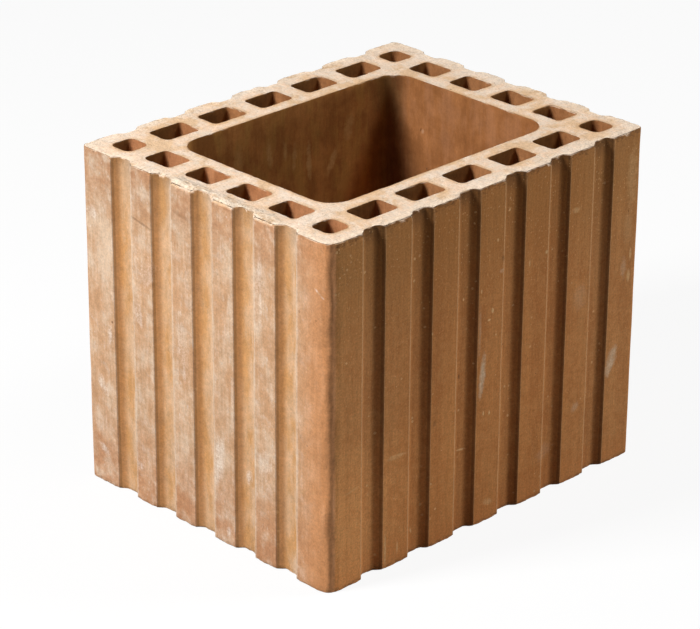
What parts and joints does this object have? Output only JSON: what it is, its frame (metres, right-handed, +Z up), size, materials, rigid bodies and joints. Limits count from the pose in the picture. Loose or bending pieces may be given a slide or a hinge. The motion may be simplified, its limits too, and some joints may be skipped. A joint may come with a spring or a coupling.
{
  "type": "hollow clay block",
  "caption": "Hollow fired-clay building block with a large rectangular core, a ring of perforations through its walls and upright keying grooves on its faces.",
  "frame": {"origin": "middle of the lower bed face", "axes": "+X along the longer faces, +Y across the block towards its back, +Z up along the holes"},
  "size_m": [0.3, 0.24, 0.249],
  "materials": {
    "fired_clay": "matt fired clay, paler on the cut bed faces"
  },
  "bodies": {
    "root": {"hollow_block": "fired_clay"}
  },
  "joints": []
}
